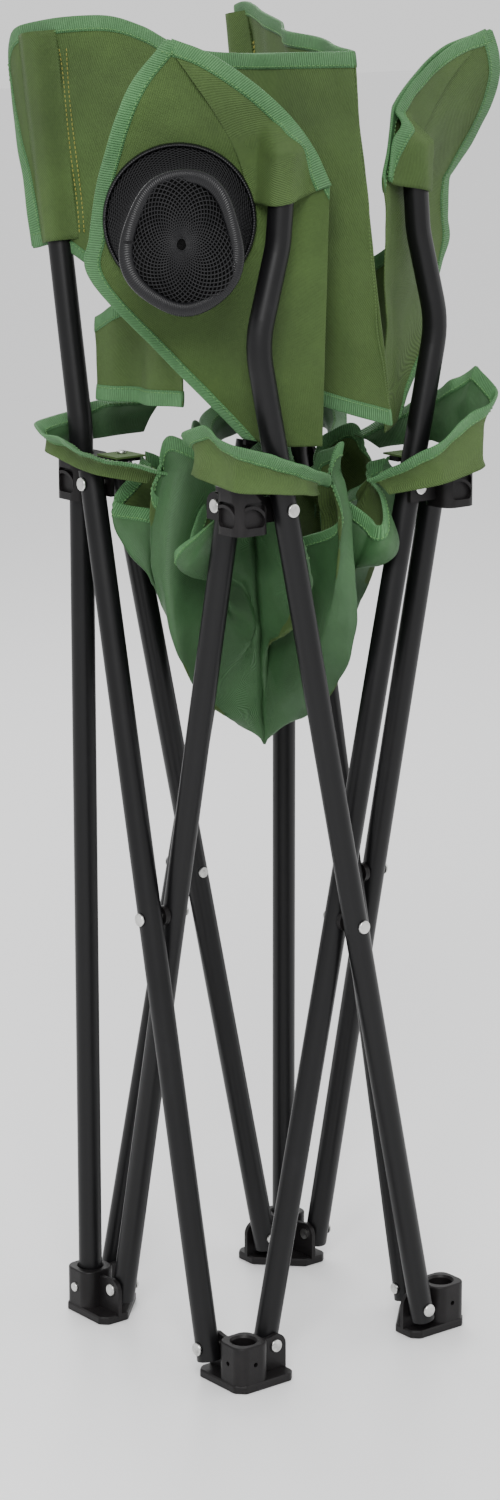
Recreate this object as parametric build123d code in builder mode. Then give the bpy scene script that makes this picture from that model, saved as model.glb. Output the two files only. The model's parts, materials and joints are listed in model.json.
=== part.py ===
"""Folding camp chair: four crossed pairs of steel tubes, eight moulded corners, two long back posts
and a cloth seat, back and arms. Modelled nearly folded, standing on its four feet.

Frame: +Z up, the sitter faces -Y, and the origin is on the floor under the middle of the whole chair.
"""
import os
from math import acos, cos, radians, sin, tan

from build123d import *

os.makedirs("parts", exist_ok=True)

# ---------------------------------------------------------------- driving dimensions (mm, degrees)
TUBE_R = 8.0              # 16 mm steel tube throughout
TUBE_WALL = 1.0
LEG_SPAN = 574.0          # foot pivot to hub pivot along a crossed tube
REST_ANGLE = 12.0         # each crossed tube leans this much as the chair stands nearly folded
OPEN_ANGLE = 45.0         # and this much when the chair is open
PIVOT_INSET = 26.0        # pivot to corner axis, along the side
FOOT_PIVOT_Z = 21.0
EAR = 3.0                 # thickness of a moulded ear
SIDE_GAP = 0.5            # ear to tube
TUBE_TAIL = 9.0           # tube beyond its last pivot
FOOTPRINT = (11.8, -13.8) # the middle of the four corners: the arms and back overhang the other way

RIVET_R = 2.5
RIVET_PLAY = 0.08         # radial play of a rivet in the tube that turns on it
HEAD_R = 4.4
HEAD_T = 1.5
HEAD_GAP = 0.3            # under a rivet head, so that the tube can turn

SOCKET_R = 8.05           # moulded socket for a 16 mm post
COLLAR_R = 8.4            # rear hub's sliding collar
BLOCK = 26.0              # square corner block of a foot or a hub
FOOT_H = 31.0
HUB_BELOW = 14.0          # hub's reach below and above its pivot
HUB_ABOVE = 13.0
LIP_T = 3.0

POST_BEND_Z = 615.0       # the back posts lean back above this height
POST_LEAN = 10.0
POST_TOP = 250.0          # post length above its bend
ARM_RUNS = (107.0, 62.0, 47.0)     # arm tube above the hub pivot: below, between and above its bends
ARM_TURNS = (27.5, -10.5)          # inward at the first bend, back at the second

CLOTH = 1.2               # thickness of the woven panels
SEAT_INSET = 24.0         # seat corner to corner axis, along both sides
BACK_LOW = (130.0, 25.0, -18.0)    # lower edge of the back, from the post to the middle
BACK_HIGH = (261.0, 233.0)         # upper edge
ARM_DROP = 832.0          # height of the arm cloth's hold on the arm tube
ARM_REAR_Z = 655.0        # height of its hold on the back post
ARM_FACE = 51.5           # the hanging front half of an arm faces this far round from straight ahead
CUP_AT = (66.5, 71.0)     # middle of the cup holder, outward and down from the arm's hold
CUP_R = 46.0
CUP_DEPTH = 60.0

# ---------------------------------------------------------------- worked out from them
LEAN = radians(REST_ANGLE)
SIDE = LEG_SPAN * sin(LEAN) + 2 * PIVOT_INSET
HALF = SIDE / 2
OPEN_HALF = LEG_SPAN * sin(radians(OPEN_ANGLE)) / 2 + PIVOT_INSET
HUB_PIVOT_Z = FOOT_PIVOT_Z + LEG_SPAN * cos(LEAN)
MID_PIVOT_Z = (FOOT_PIVOT_Z + HUB_PIVOT_Z) / 2
TUBE_OFF = EAR / 2 + SIDE_GAP + TUBE_R
SEAT_Z = HUB_PIVOT_Z + HUB_ABOVE + LIP_T + 0.3 + CLOTH / 2
UP = Vector(0, 0, 1)
TILT = radians(POST_LEAN)
POST_AXIS = Vector(0, sin(TILT), cos(TILT))

CORNERS = {
    "rear_right": Vector(*FOOTPRINT) + Vector(-HALF, HALF),
    "front_right": Vector(*FOOTPRINT) + Vector(-HALF, -HALF),
    "front_left": Vector(*FOOTPRINT) + Vector(HALF, -HALF),
    "rear_left": Vector(*FOOTPRINT) + Vector(HALF, HALF),
}
# each side runs from one corner to the next, round the chair
SIDES = {
    "right": ("rear_right", "front_right"),
    "front": ("front_right", "front_left"),
    "left": ("front_left", "rear_left"),
    "rear": ("rear_left", "rear_right"),
}
ARM_TUBES = {"front_right": ("front", "outer"), "front_left": ("front", "inner")}


def side_axes(side):
    """Start corner, end corner, direction along the side and outward normal."""
    start, end = (CORNERS[name] for name in SIDES[side])
    along = (end - start).normalized()
    return start, end, along, along.cross(UP)


def corner_plane(corner, height=0.0):
    """Plane at a corner axis: x along the side that starts here, y along the side that ends here."""
    side = next(name for name, ends in SIDES.items() if ends[0] == corner)
    return Plane(origin=CORNERS[corner] + UP * height, x_dir=side_axes(side)[2], z_dir=UP)


def save(part, name):
    part.label = name
    export_step(part, f"parts/{name}.step")


# ---------------------------------------------------------------- crossed tubes and arm tubes
def crossed_tube(side, layer):
    """One tube of a crossed pair. The outer one hangs from the hub where the side starts."""
    start, end, along, outward = side_axes(side)
    shift = outward * (TUBE_OFF if layer == "outer" else -TUBE_OFF)
    near_start = start + along * PIVOT_INSET + shift
    near_end = end - along * PIVOT_INSET + shift
    top_flat, foot_flat = (near_start, near_end) if layer == "outer" else (near_end, near_start)
    foot = foot_flat + UP * FOOT_PIVOT_Z
    hub = top_flat + UP * HUB_PIVOT_Z
    rise = (hub - foot).normalized()
    pivots = (foot, (foot + hub) * 0.5, hub)
    points = [foot - rise * TUBE_TAIL]
    corner = SIDES[side][0] if layer == "outer" else SIDES[side][1]
    if ARM_TUBES.get(corner) == (side, layer):
        toward_middle = along if layer == "outer" else -along
        angle = -REST_ANGLE
        at = hub
        for run, turn in zip(ARM_RUNS, (*ARM_TURNS, 0)):
            at = at + (toward_middle * sin(radians(angle)) + UP * cos(radians(angle))) * run
            points.append(at)
            angle += turn
    else:
        points.append(hub + rise * TUBE_TAIL)
    with BuildPart() as tube:
        if len(points) == 2:
            with BuildSketch(Plane(origin=points[0], x_dir=outward, z_dir=rise)):
                Circle(TUBE_R)
                Circle(TUBE_R - TUBE_WALL, mode=Mode.SUBTRACT)
            extrude(amount=(points[1] - points[0]).length)
        else:
            with BuildLine() as route:
                FilletPolyline(*points, radius=60)
            with BuildSketch(Plane(origin=points[0], x_dir=outward, z_dir=rise)):
                Circle(TUBE_R)
                Circle(TUBE_R - TUBE_WALL, mode=Mode.SUBTRACT)
            sweep(path=route.line)
        for pivot in pivots:
            with BuildSketch(Plane(origin=pivot, z_dir=outward)):
                Circle(RIVET_R + RIVET_PLAY)
            extrude(amount=2 * TUBE_R, both=True, mode=Mode.SUBTRACT)
    save(tube.part, f"{side}_{layer}_tube")
    return points


arm_points = {}
for side_name in SIDES:
    for layer_name in ("outer", "inner"):
        run_points = crossed_tube(side_name, layer_name)
        if side_name == "front":
            arm_points["right" if layer_name == "outer" else "left"] = run_points

# ---------------------------------------------------------------- back posts and end caps
POST_FLOOR = 4.0          # the socket's floor


def back_post(hand, corner):
    foot = CORNERS[corner] + UP * POST_FLOOR
    bend = CORNERS[corner] + UP * POST_BEND_Z
    top = bend + POST_AXIS * POST_TOP
    with BuildPart() as post:
        with BuildLine() as route:
            FilletPolyline(foot, bend, top, radius=80)
        with BuildSketch(Plane(origin=foot, z_dir=UP)):
            Circle(TUBE_R)
            Circle(TUBE_R - TUBE_WALL, mode=Mode.SUBTRACT)
        sweep(path=route.line)
    save(post.part, f"back_post_{hand}")
    return top


def end_cap(name, end, direction):
    """Plastic plug with a domed head, pressed into the top of a tube."""
    seat_plane = Plane(origin=end, z_dir=direction)
    with BuildPart() as cap:
        with BuildSketch(seat_plane.offset(-12)):
            Circle(TUBE_R - TUBE_WALL)
        extrude(amount=12)
        with BuildSketch(seat_plane):
            Circle(TUBE_R)
        extrude(amount=3)
        fillet(cap.edges().sort_by(lambda edge: edge.center().dot(direction))[-1], radius=2)
    save(cap.part, name)


post_tops = {}
for hand_name, corner_name in (("right", "rear_right"), ("left", "rear_left")):
    post_tops[hand_name] = back_post(hand_name, corner_name)
    end_cap(f"post_cap_{hand_name}", post_tops[hand_name], POST_AXIS)
    tube_end = arm_points[hand_name]
    end_cap(f"arm_tube_cap_{hand_name}", tube_end[-1], (tube_end[-1] - tube_end[-2]).normalized())

# ---------------------------------------------------------------- moulded feet
SCREW_R = 1.6
POST_SCREW_Z = 18.0
PLATE_T = 5.0
PLATE_OUT = 14.0          # base plate beyond the corner axis, outward and along the ears
PLATE_IN = 34.0
EAR_END = 34.5


def ear_outline(low, shoulder, crown):
    """Side view of an ear: round over the pivot, hollow between it and the corner block."""
    tip = crown - (EAR_END - PIVOT_INSET)
    with BuildSketch() as outline:
        with BuildLine():
            Polyline((11, shoulder), (4, shoulder), (4, low), (EAR_END, low), (EAR_END, tip))
            ThreePointArc((EAR_END, tip), (PIVOT_INSET + 6, crown - 2.4), (PIVOT_INSET, crown))
            ThreePointArc((PIVOT_INSET, crown), (17, crown - 1.4), (11, shoulder))
        make_face()
    return outline.sketch


def ear_planes(base):
    """Vertical middle planes of a corner's two ears, with their normals square to each side."""
    first = Plane(origin=base.origin, x_dir=base.x_dir, z_dir=-base.y_dir)
    second = Plane(origin=base.origin, x_dir=base.y_dir, z_dir=base.x_dir)
    return first, second


def outer_planes(base):
    """Planes through a corner axis that face outward from its two sides."""
    first = Plane(origin=base.origin, x_dir=base.x_dir, z_dir=-base.y_dir)
    second = Plane(origin=base.origin, x_dir=-base.y_dir, z_dir=-base.x_dir)
    return first, second


def foot(corner):
    base = corner_plane(corner)
    foot_ear = ear_outline(low=PLATE_T - 1, shoulder=FOOT_H - 3, crown=FOOT_PIVOT_Z + 8)
    with BuildPart() as body:
        with BuildSketch(base):
            with BuildLine():
                Polyline(
                    (-PLATE_OUT, -8), (-8, -PLATE_OUT), (PLATE_IN - 5, -PLATE_OUT), (PLATE_IN, -9),
                    (PLATE_IN, 7), (7, PLATE_IN), (-9, PLATE_IN), (-PLATE_OUT, PLATE_IN - 5),
                    close=True,
                )
            make_face()
        extrude(amount=PLATE_T)
        fillet(body.edges().filter_by(Axis.Z), radius=3)
        chamfer(body.faces().sort_by(Axis.Z)[-1].edges(), length=1)
        with BuildSketch(base):
            RectangleRounded(BLOCK, BLOCK, radius=8)
        extrude(amount=FOOT_H)
        for ear in ear_planes(base):
            with BuildSketch(ear):
                add(foot_ear)
            extrude(amount=EAR / 2, both=True)
        fillet(body.faces().sort_by(Axis.Z)[-1].edges(), radius=1.2)
        with BuildSketch(base.offset(POST_FLOOR)):
            Circle(SOCKET_R)
        extrude(amount=FOOT_H, mode=Mode.SUBTRACT)
        with BuildSketch(base.offset(FOOT_H - 1.6)):
            Circle(SOCKET_R)
        extrude(amount=1.7, taper=-38, mode=Mode.SUBTRACT)
        for ear in ear_planes(base):
            with BuildSketch(ear):
                with Locations((PIVOT_INSET, FOOT_PIVOT_Z)):
                    Circle(RIVET_R)
            extrude(amount=EAR, both=True, mode=Mode.SUBTRACT)
        for face in outer_planes(base):
            with BuildSketch(face.offset(BLOCK / 2 - 6)):
                with Locations((0, POST_SCREW_Z)):
                    Circle(SCREW_R)
            extrude(amount=7, mode=Mode.SUBTRACT)
    save(body.part, f"foot_{corner}")


for corner_name in CORNERS:
    foot(corner_name)

# ---------------------------------------------------------------- moulded hubs
TAB = (17.0, 35.0, 22.0)  # seat tab: from, to along the first side, and reach inward
TAB_HOLE = (27.0, 13.0)
HOLLOW = 16.0             # recessed panel in each outer face of a hub


def tube_swing():
    """Room for an arm tube as it swings past a front hub, above its pivot."""
    reach = HUB_ABOVE + LIP_T + 6
    near = PIVOT_INSET - TUBE_R * 1.7
    with BuildSketch() as room:
        with BuildLine():
            Polyline((near, 0), (near - reach, reach), (EAR_END + 10, reach), (EAR_END + 10, 0), close=True)
        make_face()
    return room.sketch


def hub(corner):
    base = corner_plane(corner, HUB_PIVOT_Z)
    first, second = ear_planes(base)
    hub_ear = ear_outline(low=-9, shoulder=HUB_ABOVE, crown=9)
    swing = tube_swing()
    with BuildPart() as body:
        with BuildSketch(base.offset(-HUB_BELOW)):
            RectangleRounded(BLOCK, BLOCK, radius=8)
        extrude(amount=HUB_BELOW + HUB_ABOVE)
        with BuildSketch(base.offset(HUB_ABOVE)):
            RectangleRounded(BLOCK + 3, BLOCK + 3, radius=9)
        extrude(amount=LIP_T)
        for ear in (first, second):
            with BuildSketch(ear):
                add(hub_ear)
            extrude(amount=EAR / 2, both=True)
        with BuildSketch(first):
            with Locations(((TAB[0] + TAB[1]) / 2, HUB_ABOVE - 1)):
                Rectangle(TAB[1] - TAB[0], 2 * LIP_T + 2)
        extrude(amount=EAR / 2, both=True)
        with BuildSketch(base.offset(HUB_ABOVE)):
            with BuildLine():
                Polyline((4, -1.5), (TAB[1], -1.5), (TAB[1], TAB[2]), (TAB[0], TAB[2]), (TAB[0], 9),
                         (4, 1.5), close=True)
            make_face()
        extrude(amount=LIP_T)
        for face in outer_planes(base):
            with BuildSketch(face.offset(BLOCK / 2 - 3)):
                with Locations((0, -1)):
                    RectangleRounded(HOLLOW, HOLLOW, radius=3)
            extrude(amount=4, mode=Mode.SUBTRACT)
            with BuildSketch(face.offset(BLOCK / 2 - 3.4)):
                with Locations((-3, -9)):
                    Circle(14)
                    Circle(12, mode=Mode.SUBTRACT)
                with Locations((0, -1)):
                    RectangleRounded(HOLLOW + 0.4, HOLLOW + 0.4, radius=3, mode=Mode.INTERSECT)
            extrude(amount=3.0)
        if corner.startswith("rear"):
            with BuildSketch(base.offset(-HUB_BELOW - 1)):
                Circle(COLLAR_R)
            extrude(amount=HUB_BELOW + HUB_ABOVE + LIP_T + 2, mode=Mode.SUBTRACT)
        else:
            # the front hubs leave room for the arm tubes, outside one and inside the other
            beside = first.offset(EAR / 2 + 0.2) if corner == "front_right" else second.offset(EAR / 2 + 0.2)
            with BuildSketch(beside):
                add(swing)
            extrude(amount=3 * TUBE_R, mode=Mode.SUBTRACT)
        for ear in (first, second):
            with BuildSketch(ear):
                with Locations((PIVOT_INSET, 0)):
                    Circle(RIVET_R)
            extrude(amount=EAR, both=True, mode=Mode.SUBTRACT)
        with BuildSketch(base.offset(HUB_ABOVE - 1)):
            with Locations(TAB_HOLE):
                Circle(SCREW_R)
        extrude(amount=LIP_T + 2, mode=Mode.SUBTRACT)
    save(body.part, f"hub_{corner}")


for corner_name in CORNERS:
    hub(corner_name)

# ---------------------------------------------------------------- rivets, spacers and screws
TAIL_R = 3.6
TAIL_T = 1.2
STEP = 2 * TUBE_R
SEAT_SCREW_GRIP = CLOTH + 0.6


def turned(*sections):
    """A fastener along +Z from stacked rounds: each is (from, to, radius)."""
    with BuildPart() as shape:
        for low, high, radius in sections:
            with BuildSketch(Plane.XY.offset(low)):
                Circle(radius)
            extrude(amount=high - low)
        fillet(shape.edges().sort_by(Axis.Z)[-1], radius=0.9)
    return shape.part


def rivet(grip, head_gap=HEAD_GAP, tail_gap=HEAD_GAP):
    """Tubular rivet whose head is outside: its parts hold the length between 0 and -grip."""
    return turned(
        (-grip - tail_gap - TAIL_T, -grip - tail_gap, TAIL_R),
        (-grip - tail_gap, head_gap, RIVET_R),
        (head_gap, head_gap + HEAD_T, HEAD_R),
    )


def screw(length):
    return turned((-length, 0, SCREW_R), (0, 1.6, 3.2))


def group(name, placed):
    """Fasteners of one corner: (shape, plane) pairs, each a solid of its own."""
    with BuildPart() as fasteners:
        for shape, plane in placed:
            with Locations(plane.location):
                add(shape)
    save(fasteners.part, name)


def corner_rivets(corner, height, kind):
    """The two pivots of a foot or a hub: head on the outer side of each."""
    first, second = outer_planes(corner_plane(corner, height))
    outer_grip = STEP + SIDE_GAP + EAR
    first_is_tube = kind == "hub"
    placed = []
    for face, along_face, tube_outside in (
        (first, PIVOT_INSET, first_is_tube),
        (second, -PIVOT_INSET, not first_is_tube),
    ):
        # head over the tube where the tube is outside the ear, and on the ear where it is inside
        out = EAR / 2 + (SIDE_GAP + STEP if tube_outside else 0)
        shape = rivet(outer_grip, HEAD_GAP if tube_outside else 0, 0 if tube_outside else HEAD_GAP)
        origin = face.origin + face.x_dir * along_face + face.z_dir * out
        placed.append((shape, Plane(origin=origin, z_dir=face.z_dir)))
    return placed


for corner_name in CORNERS:
    foot_rivets = corner_rivets(corner_name, FOOT_PIVOT_Z, "foot")
    if corner_name.startswith("rear"):
        foot_face, _ = outer_planes(corner_plane(corner_name, POST_SCREW_Z))
        post_screw = screw(BLOCK / 2 - SOCKET_R)
        foot_rivets.append((post_screw, foot_face.offset(BLOCK / 2)))
    group(f"foot_fasteners_{corner_name}", foot_rivets)
    hub_rivets = corner_rivets(corner_name, HUB_PIVOT_Z, "hub")
    hub_plane = corner_plane(corner_name, HUB_PIVOT_Z)
    hole = hub_plane.from_local_coords(Vector(*TAB_HOLE, HUB_ABOVE + LIP_T + SEAT_SCREW_GRIP))
    hub_rivets.append((screw(LIP_T + SEAT_SCREW_GRIP), Plane(origin=hole, z_dir=UP)))
    group(f"hub_fasteners_{corner_name}", hub_rivets)

MID_GAP = 2 * (TUBE_OFF - TUBE_R)
for side_name in SIDES:
    side_start, side_end, side_along, side_outward = side_axes(side_name)
    middle = (side_start + side_end) * 0.5 + UP * MID_PIVOT_Z
    head_plane = Plane(origin=middle + side_outward * (TUBE_OFF + TUBE_R), z_dir=side_outward)
    group(f"{side_name}_mid_rivet", [(rivet(2 * STEP + MID_GAP, HEAD_GAP, 0), head_plane)])
    with BuildPart() as spacer:
        with BuildSketch(Plane(origin=middle - side_outward * MID_GAP / 2, z_dir=side_outward)):
            Circle(6.5)
            Circle(RIVET_R, mode=Mode.SUBTRACT)
        extrude(amount=MID_GAP - 0.3)
    save(spacer.part, f"{side_name}_mid_spacer")

# ---------------------------------------------------------------- cloth seat
SEAT_HALF = HALF - SEAT_INSET                    # seat corner to the middle of a side, at rest
SEAT_OPEN_HALF = OPEN_HALF - SEAT_INSET          # the same with the chair open and the seat flat
SEAT_PITCH = acos(SEAT_HALF / SEAT_OPEN_HALF)    # how steeply each panel hangs at rest
PANEL_TOP = 3.5                                  # clearances of a panel from its neighbours
PANEL_SIDE = 4.0
PANEL_FOOT = 30.0
BINDING = 9.0                                    # width of the tape that binds each hem


def seat_panel(side):
    """One of the four seat panels: its hem runs hub to hub and its tip hangs in the middle."""
    start, end, along, outward = side_axes(side)
    hem_middle = (start + end) * 0.5 - outward * SEAT_INSET + UP * SEAT_Z
    down = -outward * cos(SEAT_PITCH) - UP * sin(SEAT_PITCH)
    plane = Plane(origin=hem_middle, x_dir=along, z_dir=along.cross(down))
    reach = SEAT_OPEN_HALF - PANEL_FOOT
    narrow = SEAT_HALF * PANEL_FOOT / SEAT_OPEN_HALF
    wide = SEAT_HALF - PANEL_SIDE
    with BuildPart() as panel:
        with BuildSketch(plane):
            with BuildLine():
                Polyline((-wide, PANEL_TOP), (wide, PANEL_TOP), (narrow - 2, reach), (2 - narrow, reach),
                         close=True)
            make_face()
        extrude(amount=CLOTH / 2, both=True)
    save(panel.part, f"seat_panel_{side}")
    with BuildPart() as binding:
        with BuildSketch(plane):
            with Locations((0, PANEL_TOP - 0.4 - BINDING / 2)):
                Rectangle(2 * wide, BINDING)
        extrude(amount=CLOTH, both=True)
    save(binding.part, f"seat_binding_{side}")


def seat_corner(corner):
    """Doubled corner patch of the seat, lying on the hub's tab and screwed to it."""
    base = corner_plane(corner, SEAT_Z - CLOTH / 2)
    with BuildPart() as patch:
        with BuildSketch(base):
            with BuildLine():
                Polyline((19, -1), (TAB[1] + 6, -1), (TAB[1] + 6, 22), (19, 22), close=True)
            make_face()
            with Locations(TAB_HOLE):
                Circle(SCREW_R + 0.1, mode=Mode.SUBTRACT)
        extrude(amount=CLOTH)
    save(patch.part, f"seat_corner_{corner}")


for side_name in SIDES:
    seat_panel(side_name)
for corner_name in CORNERS:
    seat_corner(corner_name)

# ---------------------------------------------------------------- cloth back
BACK_HALF = OPEN_HALF                            # post to the middle of the back, when open and flat
BACK_FOLD = acos(HALF / BACK_HALF)               # each half swings this far forward at rest
SLEEVE = (8.8, 10.2)                             # inner and outer radius of the sleeve on a post
FLAP_OUT = 26.0                                  # cloth beyond the post, outward


def back_half(hand, corner, toward):
    """Half of the back: a sleeve on its post and a panel out to the middle fold."""
    root = CORNERS[corner] + UP * POST_BEND_Z
    across = Vector(toward, 0, 0)
    forward = Vector(0, -POST_AXIS.Z, POST_AXIS.Y)
    reach = across * cos(BACK_FOLD) + forward * sin(BACK_FOLD)
    plane = Plane(origin=root, x_dir=reach, z_dir=reach.cross(POST_AXIS))
    low_post, low_waist, low_middle = BACK_LOW
    high_post, high_middle = BACK_HIGH
    with BuildPart() as half:
        with BuildSketch(Plane(origin=root + POST_AXIS * low_post, z_dir=POST_AXIS)):
            Circle(SLEEVE[1])
            Circle(SLEEVE[0], mode=Mode.SUBTRACT)
        extrude(amount=high_post - low_post)
        for inner, outer in ((SLEEVE[0] + 0.6, BACK_HALF - 2), (-FLAP_OUT, -SLEEVE[0] - 0.6)):
            with BuildSketch(plane):
                with BuildLine():
                    if inner > 0:
                        Polyline((inner, low_post), (inner, high_post), (outer, high_middle),
                                 (outer, low_middle), (outer / 2, low_waist), close=True)
                    else:
                        Polyline((inner, low_post + 8), (inner, high_post - 14), (outer, high_post),
                                 (outer, low_post), close=True)
                make_face()
            extrude(amount=CLOTH / 2, both=True)
    save(half.part, f"back_half_{hand}")


back_half("right", "rear_right", 1)
back_half("left", "rear_left", -1)

# ---------------------------------------------------------------- cloth arms
FRONT_EDGE = ((-22, 50), (20, 2), (50, -28), (73, -35), (103, 7), (120, 70), (120, 108))
FRONT_FOOT = ((27, 208), (-22, 212))             # its lower end: (outward, down)
REAR_AIM = (55, 165)                             # the rear half points at this place on the front half
REAR_BEHIND = 24.0
REAR_RUN = (12.5, 60.0)                          # its two pieces, from the post
MIDDLE_RUN = (61.5, 118.0)
POST_CLEAR = 10.6                                # arm cloth behind the arm tube's axis


def arm_frame(hand):
    """Hold on the arm tube, and the front half's outward, down and upper-face directions."""
    mirror = 1 if hand == "right" else -1
    tube = arm_points[hand]
    upper, top = tube[-2], tube[-1]
    hold = upper + (top - upper) * ((ARM_DROP - upper.Z) / (top.Z - upper.Z))
    turn = radians(ARM_FACE)
    outward = Vector(-mirror * sin(turn), cos(turn), 0)
    face = Vector(mirror * cos(turn), sin(turn), 0)
    return hold, outward, -UP, face


def arm_front(hand):
    hold, outward, down, face = arm_frame(hand)
    plane = Plane(origin=hold + face * POST_CLEAR, x_dir=outward, z_dir=outward.cross(down))
    with BuildPart() as front:
        with BuildSketch(plane):
            with BuildLine():
                Polyline(*FRONT_EDGE, *FRONT_FOOT, close=True)
            make_face()
            if hand == "right":
                with Locations(CUP_AT):
                    Circle(CUP_R - 2, mode=Mode.SUBTRACT)
        extrude(amount=CLOTH / 2, both=True)
    save(front.part, f"arm_front_{hand}")


def arm_rear(hand, corner):
    """Rear half of an arm: from the back post forward, on edge, in behind the hanging front half."""
    hold, outward, down, face = arm_frame(hand)
    lean = (ARM_REAR_Z - POST_BEND_Z) * tan(TILT)
    rear_hold = CORNERS[corner] + Vector(0, lean, ARM_REAR_Z)
    target = hold + face * REAR_BEHIND + outward * REAR_AIM[0] + down * REAR_AIM[1]
    toward = (target - rear_hold).normalized()
    plane = Plane(origin=rear_hold, x_dir=toward, z_dir=UP.cross(toward).normalized())
    for name, near, far in (("rear", *REAR_RUN), ("middle", *MIDDLE_RUN)):
        near_low, near_high = rear_edges(near)
        far_low, far_high = rear_edges(far)
        with BuildPart() as piece:
            with BuildSketch(plane):
                with BuildLine():
                    Polyline((near, near_low), (far, far_low), (far, far_high), (near, near_high), close=True)
                make_face()
            extrude(amount=CLOTH / 2, both=True)
        save(piece.part, f"arm_{name}_{hand}")


def rear_edges(run):
    """Lower and upper edge of the rear half, at a distance from the post."""
    return -20 - 0.03 * run, 22 + 0.35 * run


for hand_name, corner_name in (("right", "rear_right"), ("left", "rear_left")):
    arm_front(hand_name)
    arm_rear(hand_name, corner_name)

# ---------------------------------------------------------------- cup holder, under the right arm
CUP_WALL = 1.6
CUP_FLOOR_R = 40.0


def cup_holder():
    hold, outward, down, face = arm_frame("right")
    middle = hold + face * (POST_CLEAR - CLOTH / 2 - 0.4) + outward * CUP_AT[0] + down * CUP_AT[1]
    mouth = Plane(origin=middle, x_dir=outward, z_dir=-face)
    with BuildPart() as ring:
        with BuildSketch(mouth):
            Circle(CUP_R + 3)
            Circle(CUP_R - 2, mode=Mode.SUBTRACT)
        extrude(amount=2)
    save(ring.part, "cup_holder_ring")
    with BuildPart() as bag:
        for inset, depth, mode in ((0, CUP_DEPTH, Mode.ADD), (CUP_WALL, CUP_DEPTH - CUP_WALL, Mode.SUBTRACT)):
            with BuildSketch(mouth.offset(2)):
                Circle(CUP_R - inset)
            with BuildSketch(mouth.offset(depth)):
                Circle(CUP_FLOOR_R - inset)
            loft(mode=mode)
    save(bag.part, "cup_holder_bag")


cup_holder()
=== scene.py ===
"""Looks of the folding camp chair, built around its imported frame.

Every cloth piece is a grid of points laid out from the frame's own joints: the seat from its hub
corners, the back from its post axes and the arms from their holds on the tubes. Shapes are laid out
in millimetres, and what the meshes get is in metres.
"""
import json
from math import cos, pi, radians, sin

import bpy
import numpy as np
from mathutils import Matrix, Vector, noise


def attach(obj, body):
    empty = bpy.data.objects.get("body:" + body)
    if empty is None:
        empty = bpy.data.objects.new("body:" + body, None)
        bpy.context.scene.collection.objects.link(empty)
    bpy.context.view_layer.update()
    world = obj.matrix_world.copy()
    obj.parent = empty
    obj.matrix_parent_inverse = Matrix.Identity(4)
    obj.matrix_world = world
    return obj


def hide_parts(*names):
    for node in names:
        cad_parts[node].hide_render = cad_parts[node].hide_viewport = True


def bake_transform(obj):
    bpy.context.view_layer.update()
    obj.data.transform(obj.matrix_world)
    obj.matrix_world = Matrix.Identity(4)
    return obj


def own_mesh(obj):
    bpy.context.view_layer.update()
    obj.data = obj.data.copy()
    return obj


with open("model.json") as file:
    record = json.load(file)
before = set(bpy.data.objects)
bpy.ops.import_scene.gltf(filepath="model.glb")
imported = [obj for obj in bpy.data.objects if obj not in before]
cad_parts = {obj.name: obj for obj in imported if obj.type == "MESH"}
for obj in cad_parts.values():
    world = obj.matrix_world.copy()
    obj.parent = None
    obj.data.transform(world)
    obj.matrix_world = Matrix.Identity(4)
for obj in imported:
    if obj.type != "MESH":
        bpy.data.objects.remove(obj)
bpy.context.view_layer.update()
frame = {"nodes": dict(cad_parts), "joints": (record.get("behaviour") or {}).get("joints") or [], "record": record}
MM = 0.001
UP = np.array([0.0, 0.0, 1.0])
JOINTS = {joint["name"]: joint for joint in frame["joints"]}
RATIOS = {c["joint"]: c["ratio"] for c in frame["record"]["behaviour"]["couplings"]}
FOLD = radians(JOINTS["fold"]["range_deg"][1])     # the whole fold, from rest to open
CORNERS = {m["name"][5:]: np.array(m["pos_m"]) for m in frame["record"]["mounts"]}
CENTRE = sum(CORNERS.values()) / 4


def place(joint):
    return np.array(JOINTS[joint]["pos_m"])


def axis(joint):
    direction = np.array(JOINTS[joint]["axis"])
    return direction / np.linalg.norm(direction)


def travel(joint):
    """How far a joint goes as the chair opens, in radians or metres."""
    return RATIOS[joint] * FOLD


# ---------------------------------------------------------------- camera, light and floor
CAMERA_AZIMUTH = -38.5    # degrees
CAMERA_ELEVATION = 13.1
CAMERA_DISTANCE = 2.44    # metres
LOOK_HEIGHT = 0.42
LIGHT_HEIGHT = 0.45       # the height that the lights are aimed at
SENSOR = 36.0
LENS = 88.15
SHIFT = (-0.0096, -0.0189)


def camera():
    data = bpy.data.cameras.new("camera")
    data.sensor_width = SENSOR
    data.lens = LENS
    data.shift_x, data.shift_y = SHIFT
    turn, rise = radians(CAMERA_AZIMUTH), radians(CAMERA_ELEVATION)
    back = Vector((sin(turn) * cos(rise), -cos(turn) * cos(rise), sin(rise)))
    item = bpy.data.objects.new("camera", data)
    item.location = Vector(CENTRE) + Vector((0, 0, LOOK_HEIGHT)) + back * CAMERA_DISTANCE
    item.rotation_euler = back.to_track_quat("Z", "Y").to_euler()
    bpy.context.scene.collection.objects.link(item)
    bpy.context.scene.camera = item


def area_light(name, position, size, power):
    data = bpy.data.lights.new(name, "AREA")
    data.shape = "RECTANGLE"
    data.size, data.size_y = size
    data.energy = power
    item = bpy.data.objects.new(name, data)
    item.location = position
    aim = Vector((0, 0, LIGHT_HEIGHT)) - Vector(position)
    item.rotation_euler = aim.to_track_quat("-Z", "Y").to_euler()
    bpy.context.scene.collection.objects.link(item)


LIGHTS = (
    # name, place in metres, size in metres, watts
    ("key", (-1.5, -1.7, 2.2), (1.1, 1.4), 72),
    ("fill", (1.9, -1.0, 1.3), (1.2, 1.6), 8),
    ("rim", (0.7, 1.9, 1.9), (1.4, 1.0), 24),
)
WORLD_STRENGTH = 1.1


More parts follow.
